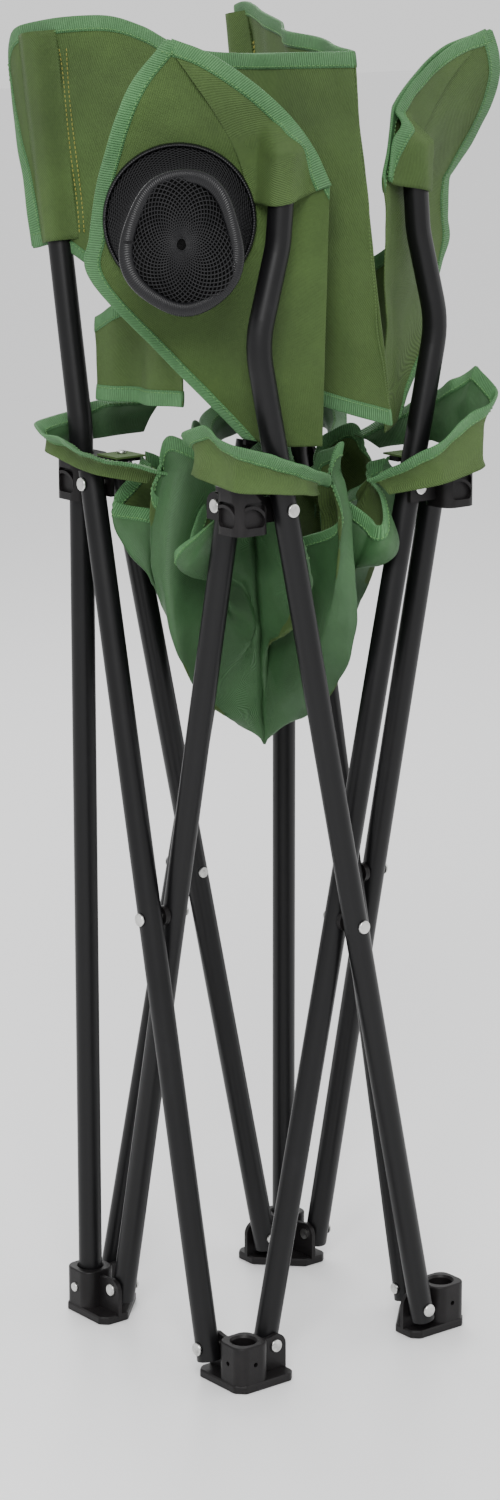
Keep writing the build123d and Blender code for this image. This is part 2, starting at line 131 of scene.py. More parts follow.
def studio():
    world = bpy.data.worlds.new("studio")
    world.use_nodes = True
    world.node_tree.nodes["Background"].inputs["Color"].default_value = (1, 1, 1, 1)
    world.node_tree.nodes["Background"].inputs["Strength"].default_value = WORLD_STRENGTH
    bpy.context.scene.world = world
    for light in LIGHTS:
        area_light(*light)
    bpy.ops.mesh.primitive_plane_add(size=24, location=(0, 0, -0.0005))
    floor = bpy.context.object
    floor.name = "floor"
    floor.data.materials.append(plain("floor", (0.9, 0.9, 0.905), 0.38))


# ---------------------------------------------------------------- materials
def new_material(name):
    material = bpy.data.materials.new(name)
    material.use_nodes = True
    return material, material.node_tree, material.node_tree.nodes["Principled BSDF"]


def plain(name, colour, roughness, specular=0.5):
    material, _, shader = new_material(name)
    shader.inputs["Base Color"].default_value = (*colour, 1)
    shader.inputs["Roughness"].default_value = roughness
    shader.inputs["Specular IOR Level"].default_value = specular
    return material


class Nodes:
    """Short words for adding and joining shader nodes."""

    def __init__(self, tree):
        self.tree = tree

    def add(self, kind, **values):
        node = self.tree.nodes.new("ShaderNode" + kind)
        for key, value in values.items():
            if hasattr(node, key):
                setattr(node, key, value)
            else:
                node.inputs[key.replace("_", " ")].default_value = value
        return node

    def join(self, source, target):
        self.tree.links.new(source, target)

    def maths(self, operation, first, second=0.5, third=0.5):
        node = self.add("Math", operation=operation)
        for socket, value in zip(node.inputs, (first, second, third)):
            if isinstance(value, bpy.types.NodeSocket):
                self.join(value, socket)
            else:
                socket.default_value = value
        return node.outputs[0]

    def ramp(self, value, stops):
        node = self.add("ValToRGB")
        node.color_ramp.elements[0].position = stops[0][0]
        node.color_ramp.elements[0].color = (*stops[0][1], 1)
        node.color_ramp.elements[1].position = stops[-1][0]
        node.color_ramp.elements[1].color = (*stops[-1][1], 1)
        for position, colour in stops[1:-1]:
            node.color_ramp.elements.new(position).color = (*colour, 1)
        self.join(value, node.inputs[0])
        return node.outputs[0]

    def noise(self, vector, scale, detail=3.0, roughness=0.5):
        node = self.add("TexNoise", Scale=scale, Detail=detail, Roughness=roughness)
        self.join(vector, node.inputs["Vector"])
        return node.outputs["Fac"]

    def multiply(self, colour, factor):
        node = self.add("Mix", data_type="RGBA", blend_type="MULTIPLY")
        node.inputs["Factor"].default_value = 1
        self.join(colour, node.inputs[6])
        self.join(factor, node.inputs[7])
        return node.outputs[2]

    def bump(self, height, strength, distance, shader):
        node = self.add("Bump", Strength=strength, Distance=distance)
        self.join(height, node.inputs["Height"])
        self.join(node.outputs[0], shader.inputs["Normal"])


def shades(colour, *factors):
    return [tuple(min(channel * factor, 1) for channel in colour) for factor in factors]


def woven(name, colour, pitch, depth, roughness, sheen, twill=True, lift=1.0, specular=0.35):
    """Woven cloth: crossing threads on a diagonal, with shade that drifts over the panel."""
    material, tree, shader = new_material(name)
    n = Nodes(tree)
    cloth = n.add("UVMap").outputs[0]
    body = n.add("TexCoord").outputs["Object"]
    split = n.add("SeparateXYZ")
    n.join(cloth, split.inputs[0])
    along, across = split.outputs[0], split.outputs[1]
    turns = 2 * pi / pitch
    warp = n.maths("SINE", n.maths("MULTIPLY", along, turns))
    if twill:
        slant = n.maths("MULTIPLY_ADD", across, 0.62, along)
        line = n.maths("SINE", n.maths("MULTIPLY", slant, turns))
        weft = n.maths("SINE", n.maths("MULTIPLY", across, turns * 1.3))
        height = n.maths("MULTIPLY_ADD", n.maths("MULTIPLY", warp, weft), 0.3, line)
    else:
        height = warp
    grade = n.maths("MULTIPLY_ADD", height, 0.3, 0.5)
    drift = n.noise(body, 9.0, 4.0, 0.6)
    grain = n.noise(body, 420.0, 2.0)
    low, mid, high = shades(colour, 0.72, 1.0, 1.34)
    tone = n.ramp(drift, [(0.3, low), (0.5, mid), (0.72, high)])
    fleck = n.ramp(n.maths("MULTIPLY_ADD", grain, 0.35, n.maths("MULTIPLY", grade, 0.7)),
                   [(0.2, (0.62,) * 3), (0.5, (0.95,) * 3), (0.85, (1.28 * lift,) * 3)])
    n.join(n.multiply(tone, fleck), shader.inputs["Base Color"])
    n.join(n.maths("MULTIPLY_ADD", drift, 0.16, roughness - 0.08), shader.inputs["Roughness"])
    shader.inputs["Specular IOR Level"].default_value = specular
    shader.inputs["Sheen Weight"].default_value = sheen
    shader.inputs["Sheen Roughness"].default_value = 0.45
    shader.inputs["Sheen Tint"].default_value = (*shades(colour, 3.2)[0], 1)
    n.bump(n.maths("MULTIPLY_ADD", grain, 0.5, height), 0.55, depth, shader)
    return material


def moulded(name, colour, roughness):
    """Moulded plastic: fine even grain with a little handling wear."""
    material, tree, shader = new_material(name)
    n = Nodes(tree)
    body = n.add("TexCoord").outputs["Object"]
    worn = n.noise(body, 26.0, 5.0, 0.65)
    grain = n.noise(body, 900.0, 2.0)
    low, mid, high = shades(colour, 0.7, 1.0, 1.9)
    n.join(n.ramp(worn, [(0.32, low), (0.52, mid), (0.78, high)]), shader.inputs["Base Color"])
    n.join(n.maths("MULTIPLY_ADD", worn, 0.24, roughness - 0.12), shader.inputs["Roughness"])
    shader.inputs["Specular IOR Level"].default_value = 0.2
    n.bump(grain, 0.35, 0.0003, shader)
    return material


def painted(name, colour, roughness):
    """Powder coat on steel: soft gloss with a faint orange peel and a few dull rubs."""
    material, tree, shader = new_material(name)
    n = Nodes(tree)
    body = n.add("TexCoord").outputs["Object"]
    peel = n.noise(body, 260.0, 2.0)
    rub = n.noise(body, 14.0, 5.0, 0.7)
    low, mid, high = shades(colour, 0.8, 1.0, 2.1)
    n.join(n.ramp(rub, [(0.3, low), (0.6, mid), (0.86, high)]), shader.inputs["Base Color"])
    n.join(n.maths("MULTIPLY_ADD", rub, 0.2, roughness - 0.1), shader.inputs["Roughness"])
    shader.inputs["Coat Weight"].default_value = 0.08
    shader.inputs["Specular IOR Level"].default_value = 0.2
    shader.inputs["Coat Roughness"].default_value = 0.3
    n.bump(peel, 0.25, 0.0002, shader)
    return material


def zinc(name, colour):
    """Zinc-plated steel: bright, with drawn marks and slight dulling."""
    material, tree, shader = new_material(name)
    n = Nodes(tree)
    body = n.add("TexCoord").outputs["Object"]
    cloud = n.noise(body, 120.0, 4.0, 0.6)
    low, mid, high = shades(colour, 0.6, 1.0, 1.2)
    n.join(n.ramp(cloud, [(0.3, low), (0.5, mid), (0.75, high)]), shader.inputs["Base Color"])
    n.join(n.maths("MULTIPLY_ADD", cloud, 0.3, 0.16), shader.inputs["Roughness"])
    shader.inputs["Metallic"].default_value = 1
    n.bump(cloud, 0.3, 0.0002, shader)
    return material


OLIVE = (0.046, 0.084, 0.020)
COATED = (0.032, 0.086, 0.031)
TAPE_GREEN = (0.052, 0.138, 0.052)
STITCH_GREEN = (0.095, 0.215, 0.075)
STITCH_GOLD = (0.235, 0.225, 0.045)
BLACK_LINING = (0.003, 0.003, 0.003)
BLACK_NET = (0.009, 0.009, 0.01)
BLACK_TAPE = (0.007, 0.007, 0.008)
BLACK_SATIN = (0.005, 0.005, 0.006)
LOOKS = {
    "face": woven("twill_face", OLIVE, 1.3 * MM, 0.0005, 0.74, 0.25),
    "under": woven("coated_underside", COATED, 1.1 * MM, 0.0002, 0.5, 0.12, lift=0.9),
    "tape": woven("grosgrain_tape", TAPE_GREEN, 1.5 * MM, 0.0008, 0.62, 0.3, twill=False, lift=1.15),
    "green_thread": woven("green_thread", STITCH_GREEN, 0.5 * MM, 0.0002, 0.6, 0.2, twill=False),
    "gold_thread": woven("gold_thread", STITCH_GOLD, 0.5 * MM, 0.0002, 0.6, 0.2, twill=False),
    "net": woven("black_lining", BLACK_LINING, 0.8 * MM, 0.0003, 0.7, 0.0, specular=0.1),
    "thread": plain("net_thread", BLACK_NET, 0.5, 0.25),
    "black_tape": woven("black_tape", BLACK_TAPE, 1.2 * MM, 0.0003, 0.5, 0.05, twill=False, specular=0.2),
    "satin": woven("black_satin", BLACK_SATIN, 1.6 * MM, 0.0002, 0.36, 0.0, twill=False, specular=0.3),
    "tube": painted("black_powder_coat", (0.0045, 0.0045, 0.005), 0.4),
    "plastic": moulded("dark_moulded_plastic", (0.008, 0.0072, 0.0075), 0.42),
    "rivet": zinc("zinc_plate", (0.62, 0.62, 0.6)),
}


# ---------------------------------------------------------------- grids of points
def curve(points, count):
    """count points along a smooth curve through a few points, evenly spread by length."""
    knots = np.array(points, float)
    ends = np.vstack([2 * knots[0] - knots[1], knots, 2 * knots[-1] - knots[-2]])
    fine = []
    for index in range(len(knots) - 1):
        before, first, last, after = ends[index:index + 4]
        for t in np.linspace(0, 1, 24, endpoint=False):
            fine.append(0.5 * (2 * first + (last - before) * t
                               + (2 * before - 5 * first + 4 * last - after) * t ** 2
                               + (3 * first - before - 3 * last + after) * t ** 3))
    fine = np.array([*fine, knots[-1]])
    steps = np.concatenate([[0], np.cumsum(np.linalg.norm(np.diff(fine, axis=0), axis=1))])
    wanted = np.linspace(0, steps[-1], count)
    return np.stack([np.interp(wanted, steps, fine[:, k]) for k in range(fine.shape[1])], axis=1)


def patch(top, bottom, left, right):
    """Grid that fills four edges. top and bottom run left to right, left and right run downward."""
    rows, columns = len(left), len(top)
    s = np.linspace(0, 1, columns)[None, :, None]
    t = np.linspace(0, 1, rows)[:, None, None]
    across = left[:, None] * (1 - s) + right[:, None] * s
    downward = top[None] * (1 - t) + bottom[None] * t
    corners = (top[0] * (1 - s) * (1 - t) + top[-1] * s * (1 - t)
               + bottom[0] * (1 - s) * t + bottom[-1] * s * t)
    return across + downward - corners


def normals(grid):
    down, over = np.gradient(grid, axis=0), np.gradient(grid, axis=1)
    normal = np.cross(over, down)
    return normal / np.maximum(np.linalg.norm(normal, axis=2, keepdims=True), 1e-9)


def ripple(grid, size, height, seed):
    """Soft random unevenness along a grid's normals: size and height in millimetres."""
    rows, columns = grid.shape[:2]
    field = np.zeros((rows, columns))
    for i in range(rows):
        for j in range(columns):
            spot = Vector(grid[i, j] / (size * MM)) + Vector((seed, 0, 0))
            field[i, j] = noise.noise(spot) + 0.4 * noise.noise(spot * 2.3)
    return grid + normals(grid) * (field * height * MM)[..., None]


def run_lengths(grid, along):
    steps = np.linalg.norm(np.diff(grid, axis=along), axis=2)
    lead = np.zeros((1, grid.shape[1])) if along == 0 else np.zeros((grid.shape[0], 1))
    return np.concatenate([lead, np.cumsum(steps, axis=along)], axis=along)


# ---------------------------------------------------------------- meshes
FACE_AND_UNDER = ("face", "under")
BOTH_FACES = ("face", "face")


def mesh_object(name, points, faces, looks, face_looks, uv):
    mesh = bpy.data.meshes.new(name)
    mesh.from_pydata([tuple(p) for p in points], [], faces)
    for look in looks:
        mesh.materials.append(LOOKS[look])
    mesh.polygons.foreach_set("material_index", face_looks)
    mesh.polygons.foreach_set("use_smooth", [True] * len(faces))
    layer = mesh.uv_layers.new(name="UVMap")
    corner_points = np.zeros(len(mesh.loops), int)
    mesh.loops.foreach_get("vertex_index", corner_points)
    layer.data.foreach_set("uv", np.asarray(uv)[corner_points].astype(np.float32).ravel())
    mesh.update()
    item = bpy.data.objects.new(name, mesh)
    bpy.context.scene.collection.objects.link(item)
    return item


def shell(name, grid, looks, thick=0.9):
    """Cloth of a grid: a face on its normals' side, an underside and a closed rim."""
    rows, columns = grid.shape[:2]
    offset = normals(grid) * (thick * MM / 2)
    points = np.concatenate([(grid + offset).reshape(-1, 3), (grid - offset).reshape(-1, 3)])
    flat = np.stack([run_lengths(grid, 1), run_lengths(grid, 0)], axis=2).reshape(-1, 2)
    count = rows * columns
    faces, face_looks = [], []
    for i in range(rows - 1):
        for j in range(columns - 1):
            a, b = i * columns + j, i * columns + j + 1
            c, d = b + columns, a + columns
            faces.append((a, b, c, d)[::-1])
            faces.append((a + count, b + count, c + count, d + count))
            face_looks += [0, 1]
    rim = ([(0, j) for j in range(columns)]
           + [(i, columns - 1) for i in range(1, rows)]
           + [(rows - 1, j) for j in range(columns - 2, -1, -1)]
           + [(i, 0) for i in range(rows - 2, 0, -1)])
    for (i, j), (k, m) in zip(rim, rim[1:] + rim[:1]):
        a, b = i * columns + j, k * columns + m
        faces.append((a, b, b + count, a + count))
        face_looks.append(0)
    return mesh_object(name, points, faces, looks, face_looks, np.concatenate([flat, flat]))


def from_edge(grid, edge):
    """The grid with its rows turned so that row 0 is the named edge."""
    if edge == "bottom":
        return grid[::-1]
    if edge == "left":
        return grid.transpose(1, 0, 2)
    if edge == "right":
        return grid.transpose(1, 0, 2)[::-1]
    return grid


def inset(grid, edge, distance):
    """Points and normals a distance in from an edge, found along the grid lines that leave it."""
    turned, facing = from_edge(grid, edge), from_edge(normals(grid), edge)
    lengths = run_lengths(turned, 0)
    points, normal = [], []
    for j in range(turned.shape[1]):
        points.append([np.interp(distance, lengths[:, j], turned[:, j, k]) for k in range(3)])
        normal.append([np.interp(distance, lengths[:, j], facing[:, j, k]) for k in range(3)])
    normal = np.array(normal)
    return np.array(points), normal / np.linalg.norm(normal, axis=1, keepdims=True)


TAPE_WIDTH = 9.0
TAPE_HALF = 1.05          # half its thickness over the cloth
# section of a binding tape, in millimetres: distance in from the edge, and share of its half thickness
TAPE_SECTION = ((-1.3, 0.0), (-1.0, 0.75), (0.2, 1.0), (3.2, 1.05), (6.6, 1.0), (TAPE_WIDTH, 0.85),
                (TAPE_WIDTH, -0.85), (6.6, -1.0), (3.2, -1.05), (0.2, -1.0), (-1.0, -0.75))


def tape(name, grid, edges):
    """Folded tape that binds edges of a grid."""
    points, faces, uv = [], [], []
    for edge in edges:
        base = len(points)
        rim, rim_normal = inset(grid, edge, 0)
        inner, _ = inset(grid, edge, 2 * MM)
        outward = rim - inner
        outward /= np.maximum(np.linalg.norm(outward, axis=1, keepdims=True), 1e-9)
        steps = np.concatenate([[0], np.cumsum(np.linalg.norm(np.diff(rim, axis=0), axis=1))])
        rings = []
        for depth, share in TAPE_SECTION:
            if depth <= 0:
                spot, facing = rim - outward * depth * MM, rim_normal
            else:
                spot, facing = inset(grid, edge, depth * MM)
            wave = 1 + 0.12 * np.sin(steps / (11 * MM))[:, None]
            rings.append(spot + facing * (TAPE_HALF * MM * share) * wave)
        sides, count = len(rings), len(rim)
        for j in range(count):
            points += [rings[k][j] for k in range(sides)]
            uv += [(steps[j], k * 2 * MM) for k in range(sides)]
        for j in range(count - 1):
            for k in range(sides):
                a, b = base + j * sides + k, base + j * sides + (k + 1) % sides
                faces.append((a, b, b + sides, a + sides))
        faces.append(tuple(range(base + sides - 1, base - 1, -1)))
        faces.append(tuple(range(base + (count - 1) * sides, base + count * sides)))
    return mesh_object(name, points, faces, ("tape",), [0] * len(faces), uv)


STITCH = 3.0              # pitch of a seam, its thread's length and thickness
STITCH_LENGTH = 2.2
STITCH_R = 0.42
STITCH_SIDES = 5
# course of one stitch: share of its length, height over the cloth and thickness, both in radii
STITCH_COURSE = ((0, -0.3, 0.4), (0.25, 0.5, 1.0), (0.75, 0.5, 1.0), (1, -0.3, 0.4))


def seam(name, lines, look="green_thread"):
    """Rows of single stitches. Each line is (points, normals, half thickness that they stand on)."""
    points, faces, uv = [], [], []
    for path, facing, stand in lines:
        steps = np.concatenate([[0], np.cumsum(np.linalg.norm(np.diff(path, axis=0), axis=1))])
        for start in np.arange(1.5, steps[-1] / MM - 2.5, STITCH) * MM:
            ends = []
            for where in (start, start + STITCH_LENGTH * MM):
                ends.append(np.array([np.interp(where, steps, path[:, k]) for k in range(3)]))
            normal = np.array([np.interp(start, steps, facing[:, k]) for k in range(3)])
            normal /= np.linalg.norm(normal)
            run = ends[1] - ends[0]
            length = np.linalg.norm(run)
            if length < 0.4 * STITCH_LENGTH * MM:
                continue
            run /= length
            side = np.cross(normal, run)
            base = len(points)
            for share, lift, radius in STITCH_COURSE:
                middle = ends[0] + run * length * share + normal * (stand + lift * STITCH_R) * MM
                for angle in np.linspace(0, 2 * pi, STITCH_SIDES, endpoint=False):
                    around = normal * cos(angle) + side * sin(angle)
                    points.append(middle + around * radius * STITCH_R * MM)
                    uv.append((share * STITCH_LENGTH * MM, angle * STITCH_R * MM))
            for first in range(base, base + 3 * STITCH_SIDES, STITCH_SIDES):
                for k in range(STITCH_SIDES):
                    a, b = first + k, first + (k + 1) % STITCH_SIDES
                    faces.append((a, b, b + STITCH_SIDES, a + STITCH_SIDES))
            faces.append(tuple(range(base + STITCH_SIDES - 1, base - 1, -1)))
            faces.append(tuple(range(base + 3 * STITCH_SIDES, base + 4 * STITCH_SIDES)))
    return mesh_object(name, points, faces, (look,), [0] * len(faces), uv)


SEAM_DEPTH = TAPE_WIDTH - 1.6       # a seam's distance in from the edge


def edge_seams(grid, edges):
    """Stitch lines along both faces of a bound edge."""
    lines = []
    for edge in edges:
        points, facing = inset(grid, edge, SEAM_DEPTH * MM)
        lines += [(points, facing, TAPE_HALF), (points, -facing, TAPE_HALF)]
    return lines


# ---------------------------------------------------------------- how pieces move
class Riding:
    """Moves with one body; a piece given a flatten value gets its own copy of its mesh."""

    def __init__(self, body, flatten=None):
        self.body, self.flatten = body, flatten

    def apply(self, piece):
        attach(piece, self.body)
        if self.flatten:
            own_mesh(piece)


class Spreading:
    """Cloth between two bodies: its transform is baked into its mesh, where it was built."""

    def __init__(self, first, second, start, end):
        self.arguments = (first, second, tuple(start), tuple(end))

    def apply(self, piece):
        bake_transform(piece)


def finish_sheet(sheet, extras, motion, nodes=()):
    """Gives a sheet, its tape and its seams their motion, and hides the frame's nodes that they replace."""
    for piece in (sheet, *extras):
        motion.apply(piece)
    if nodes:
        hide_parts(*nodes)


# ---------------------------------------------------------------- seat
SIDES = ("right", "front", "left", "rear")
HEM_LOOPS = {
    # per side: fall of the two loops and height of the peak between them, in millimetres
    "right": (36, 44, 22), "front": (60, 30, 20), "left": (40, 50, 16), "rear": (44, 40, 16),
}
BIG_PLEAT, SMALL_PLEAT = 19.5, 5.0      # heights, in millimetres
BELLY = 33.0              # how far a quarter swells outward below its hem
HEM_INSET = 0.035         # share of the hem left to each corner piece


def seat_panel(side, following):
    """Quarter of the seat: its hem runs from hub to hub and its tip hangs in the middle.

    s runs along the open hem and t from the hem to the seam with the neighbouring quarters. The seams
    lie on the chair's diagonals; the cloth between them lies in loops and pleats.
    """
    start, end = place(f"seat_{side}_hang"), place(f"seat_{following}_hang")
    along = axis(f"seat_{side}_hang")
    pitch, spread = travel(f"seat_{side}_hang"), travel(f"seat_{side}_spread")
    inward = np.cross(UP, along)
    down = inward * cos(pitch) - UP * sin(pitch)
    upper = inward * sin(pitch) + UP * cos(pitch)
    width = np.linalg.norm(end - start)
    open_width = width + spread
    # the hem folded and opened: the same point of the cloth lies at closed and at opened
    closed = np.linspace(0, width, 600)
    share = closed / width
    opened = closed + share ** 2 * (3 - 2 * share) * spread

    rows, columns = 50, 190
    s = np.linspace(HEM_INSET, 1 - HEM_INSET, columns)[None, :]
    t = np.linspace(0, 1, rows)[:, None]
    across = s * open_width
    reach = np.minimum(across, open_width - across)
    rest_across = np.interp(across, opened, closed)
    seam_rest = np.interp(reach, opened, closed)
    seam_lift = (seam_rest - reach * cos(pitch)) / sin(pitch)

    # how far the cloth hangs below the line of the hubs
    first, second, peak = HEM_LOOPS[side]
    waist = np.sin(2 * pi * s) ** 2
    loops = np.where(s < 0.5, first, second) * MM * waist
    hump = peak * MM * np.exp(-((s - 0.5) / 0.07) ** 2)
    free = (1 - t) ** 1.3
    fall = (loops - hump) * free
    # pleats and swell, which fade out at the seams
    held = np.clip((1 - t) / 0.12, 0, 1) * np.clip(reach / (0.14 * open_width), 0, 1)
    held = held * held * (3 - 2 * held)
    lean = 0.12 * (1 - t)
    pleats = BIG_PLEAT * np.sin(6 * pi * (s + lean) + 0.4)
    pleats = pleats + SMALL_PLEAT * np.sin(14 * pi * s - 2 * t)
    depth = reach * t + fall
    swell = np.sin(pi * np.clip(2 * depth / open_width, 0, 1)).clip(0, 1) ** 0.65
    belly = BELLY * swell * (1 - t ** 7) * np.clip(reach / (0.12 * open_width), 0, 1)
    shift = 4 * MM * np.sin(12 * pi * s) * held
    out = (pleats * held - belly) * MM + seam_lift * t ** 2
    grid = (start + along * (rest_across + shift)[..., None] + down * depth[..., None]
            + upper * out[..., None])
    grid = ripple(grid, 30, 2.6, seed=3.0 * SIDES.index(side))
    sheet = shell(f"seat_{side}_cloth", grid, FACE_AND_UNDER)
    extras = [tape(f"seat_{side}_tape", grid, ("top",)),
              seam(f"seat_{side}_stitches", edge_seams(grid, ("top",)))]
    motion = Spreading(f"seat_{side}", f"seat_{side}_far", start, end)
    finish_sheet(sheet, extras, motion,
                 (f"seat_panel_{side}", f"seat_binding_{side}"))


# visor of cloth round the outside of a hub: (along the side that starts here, along the other) in mm
VISOR_FOOT = ((66, 4), (46, -16), (28, -21), (2, -19.5), (-17, -16), (-19.5, 4), (-18, 26), (2, 50))
VISOR_RIM = ((82, 12), (56, -20), (32, -27), (3, -25), (-22, -20), (-25, 5), (-24, 34), (4, 66))
VISOR_SHAPES = {
    # per hub: height of the rim from one end to the other, and how far it leans out in the middle
    "rear_right": ((-6, 12, 18, 20, 26, 34), 1.1), "front_right": ((-10, 20, 34, 36, 32, 16), 0.7),
    "front_left": ((6, 40, 56, 44, 14, -10), 1.0), "rear_left": ((-6, 22, 34, 34, 20, 2), 1.0),
}


def seat_corner(corner):
    """Corner of the seat: the cloth stands up round the hub's outer side like a visor."""
    side = SIDES[list(CORNERS).index(corner)]      # the side that starts at this corner
    first = axis(f"seat_{side}_hang")
    second = np.cross(UP, first)
    level = place(f"seat_{side}_hang")[2] + 0.6 * MM
    middle = np.array([*CORNERS[corner][:2], level])
    columns, rows = 90, 22

    def course(plan, heights):
        flat = curve(plan, columns)
        rise = curve([(0, h) for h in heights], columns)[:, 1:]
        return middle + (first * flat[:, :1] + second * flat[:, 1:] + UP * rise) * MM

    # the foot stays on the seat, and its ends drop below the rim's
    heights, lean = VISOR_SHAPES[corner]
    rim_plan = [tuple(f + (r - f) * lean for f, r in zip(*pair)) for pair in zip(VISOR_FOOT, VISOR_RIM)]
    rim = course(rim_plan, heights)
    foot = course(VISOR_FOOT, (max(heights[0] - 8, -14), 2, 3, 3, 3, 3, min(heights[-1] - 10, 8)))
    ends = [curve((rim[k], (rim[k] + foot[k]) / 2, foot[k]), rows) for k in (0, -1)]
    grid = patch(rim, foot, ends[0], ends[1])
    t = np.linspace(0, 1, rows)[:, None]
    grid = grid - normals(grid) * (5 * MM * np.sin(pi * t))[..., None]
    grid = ripple(grid, 22, 2.4, seed=7.0 + middle[0] * 90)
    sheet = shell(f"seat_corner_{corner}_cloth", grid, FACE_AND_UNDER)
    extras = [tape(f"seat_corner_{corner}_tape", grid, ("top",)),
              seam(f"seat_corner_{corner}_stitches", edge_seams(grid, ("top",)))]
    finish_sheet(sheet, extras, Riding(f"hub_{corner}"))


def seat():
    for side, following in zip(SIDES, SIDES[1:] + SIDES[:1]):
        seat_panel(side, following)
    for corner in CORNERS:
        seat_corner(corner)


# ---------------------------------------------------------------- back
# edges of a back half in millimetres: (out from the post, up from its bend)
BACK_HALF = 229.4         # from the post to the middle fold
BACK_WAVY = 229           # the waves die out before this
BACK_TOP = {
    "right": ((-32, 236), (-27, 255), (-8, 263), (45, 261), (75, 250), (100, 235), (138, 224),
              (BACK_HALF, 212)),
    "left": ((-34, 240), (-30, 264), (-8, 272), (40, 266), (120, 243), (BACK_HALF, 212)),
}
BACK_FOOT = ((-22, 121), (0, 119), (40, 88), (115, 25), (170, 2), (BACK_HALF, -18))
BACK_OUTER = ((-31, 200), (-24, 150))
BACK_CURL = {"right": 16.0, "left": -26.0}      # of the edge beyond the post, at its top
BACK_KEEP = 0.15          # share of the waves, handed on to Riding
SLEEVE_HALF = 15.0
SLEEVE_INNER = 13.0
SLEEVE_BULGE = 11.8
SLEEVE_ROUND = 10.2       # half width of its rise over the post
SLEEVE_FOOT = 122
SLEEVE_SHORT = 6.0        # from the sleeve's top to the edge of the back


def back_half(hand):
    """Half of the back: a panel from beyond its post to the middle fold, and a sleeve on the post."""
    toward = 1 if hand == "right" else -1
    root, post = place(f"back_{hand}_swing"), axis(f"back_{hand}_swing")
    swing = abs(travel(f"back_{hand}_swing"))
    forward = np.array([0, -post[2], post[1]])
    reach = np.array([toward, 0, 0]) * cos(swing) + forward * sin(swing)
    outer = -np.cross(reach, post) * toward      # the side that faces out of the folded book

    def spot(points):
        return root + (reach * points[:, :1] + post * points[:, 1:2]) * MM

    columns, rows = 110, 100
    edge = BACK_TOP[hand]
    left = spot(curve((edge[0], *BACK_OUTER, BACK_FOOT[0]), rows))
    right = spot(curve((edge[-1], BACK_FOOT[-1]), rows))
    grid = patch(spot(curve(edge, columns)), spot(curve(BACK_FOOT, columns)), left, right)
    local = (grid - root) @ np.stack([reach, post], axis=1) / MM
    run, rise = local[..., 0], local[..., 1]
    near_fold = np.clip((BACK_WAVY - run) / 16, 0, 1)
    away = np.clip((np.abs(run) - SLEEVE_HALF) / 22, 0, 1) * near_fold
    bow = 9 * np.sin(pi * np.clip(run / BACK_WAVY, 0, 1)) * (0.5 + 0.5 * np.clip(rise / 200, 0, 1))
    crease = 5 * np.sin(run / 13 + rise / 70) * np.exp(-((run - 150) / 55) ** 2)
    curl = np.clip((-run - 12) / 20, 0, 1.2) ** 1.6 * np.clip((rise - 110) / 150, 0, 1)
    bend = (bow + crease) * away + BACK_CURL[hand] * curl
    grid = grid + outer * (bend * MM)[..., None]
    grid = ripple(grid, 55, 3.0, seed=11.0 + toward)
    sheet = shell(f"back_{hand}_cloth", grid, BOTH_FACES)
    bound = ("top", "left", "bottom")
    extras = [tape(f"back_{hand}_tape", grid, bound),
              seam(f"back_{hand}_stitches", edge_seams(grid, bound)),
              seam(f"back_{hand}_sleeve_seam", sleeve_lines(grid, local, outer), "gold_thread")]
    motion = Riding(f"back_{hand}", (outer, root, BACK_KEEP))
    finish_sheet(sheet, extras, motion,
                 (f"back_half_{hand}",))
    for layer, face in (("front", 1), ("rear", -1)):
        sleeve(f"back_{hand}_sleeve_{layer}", root, reach, post, outer * face, hand)


SLEEVE_SEAMS = (SLEEVE_HALF + 1.5, SLEEVE_HALF + 5.1)
SLEEVE_SEAM_ENDS = (124, 246)
SEAM_STAND = 0.6          # the stitches stand this far off the middle of the cloth


def sleeve_lines(grid, local, outer):
    """Two rows of stitches beside the sleeve, on both faces. local is (out, up) of the grid's points."""
    rises = np.linspace(*SLEEVE_SEAM_ENDS, 60)
    lines = []
    for run_at in SLEEVE_SEAMS:
        nearest = [np.argmin(np.hypot(local[..., 0] - run_at, local[..., 1] - rise))
                   for rise in rises]
        spots = grid.reshape(-1, 3)[nearest]
        fits = [np.polyval(np.polyfit(rises, spots[:, k], 4), rises) for k in range(3)]
        path = np.stack(fits, axis=1)
        for facing in (outer, -outer):
            lines.append((path, np.tile(facing, (len(path), 1)), SEAM_STAND))
    return lines


def sleeve(name, root, reach, post, facing, hand):
    """Cloth that goes round one side of a post."""
    columns, rows = 34, 40
    run = np.linspace(-SLEEVE_INNER, SLEEVE_HALF, columns)[None, :]
    rise = np.linspace(BACK_TOP[hand][2][1] - SLEEVE_SHORT, SLEEVE_FOOT, rows)[:, None]
    bulge = SLEEVE_BULGE * np.exp(-(np.abs(run) / SLEEVE_ROUND) ** 2.8) - 0.4 + 0 * rise
    grid = root + (reach * run[..., None] + post * rise[..., None] + facing * bulge[..., None]) * MM
    grid = ripple(grid, 40, 0.7, seed=5.0)
    if np.dot(normals(grid)[rows // 2, columns // 2], facing) < 0:
        grid = grid[:, ::-1]
    sheet = shell(name, grid, BOTH_FACES, thick=0.7)
    finish_sheet(sheet, [], Riding(f"back_{hand}"))


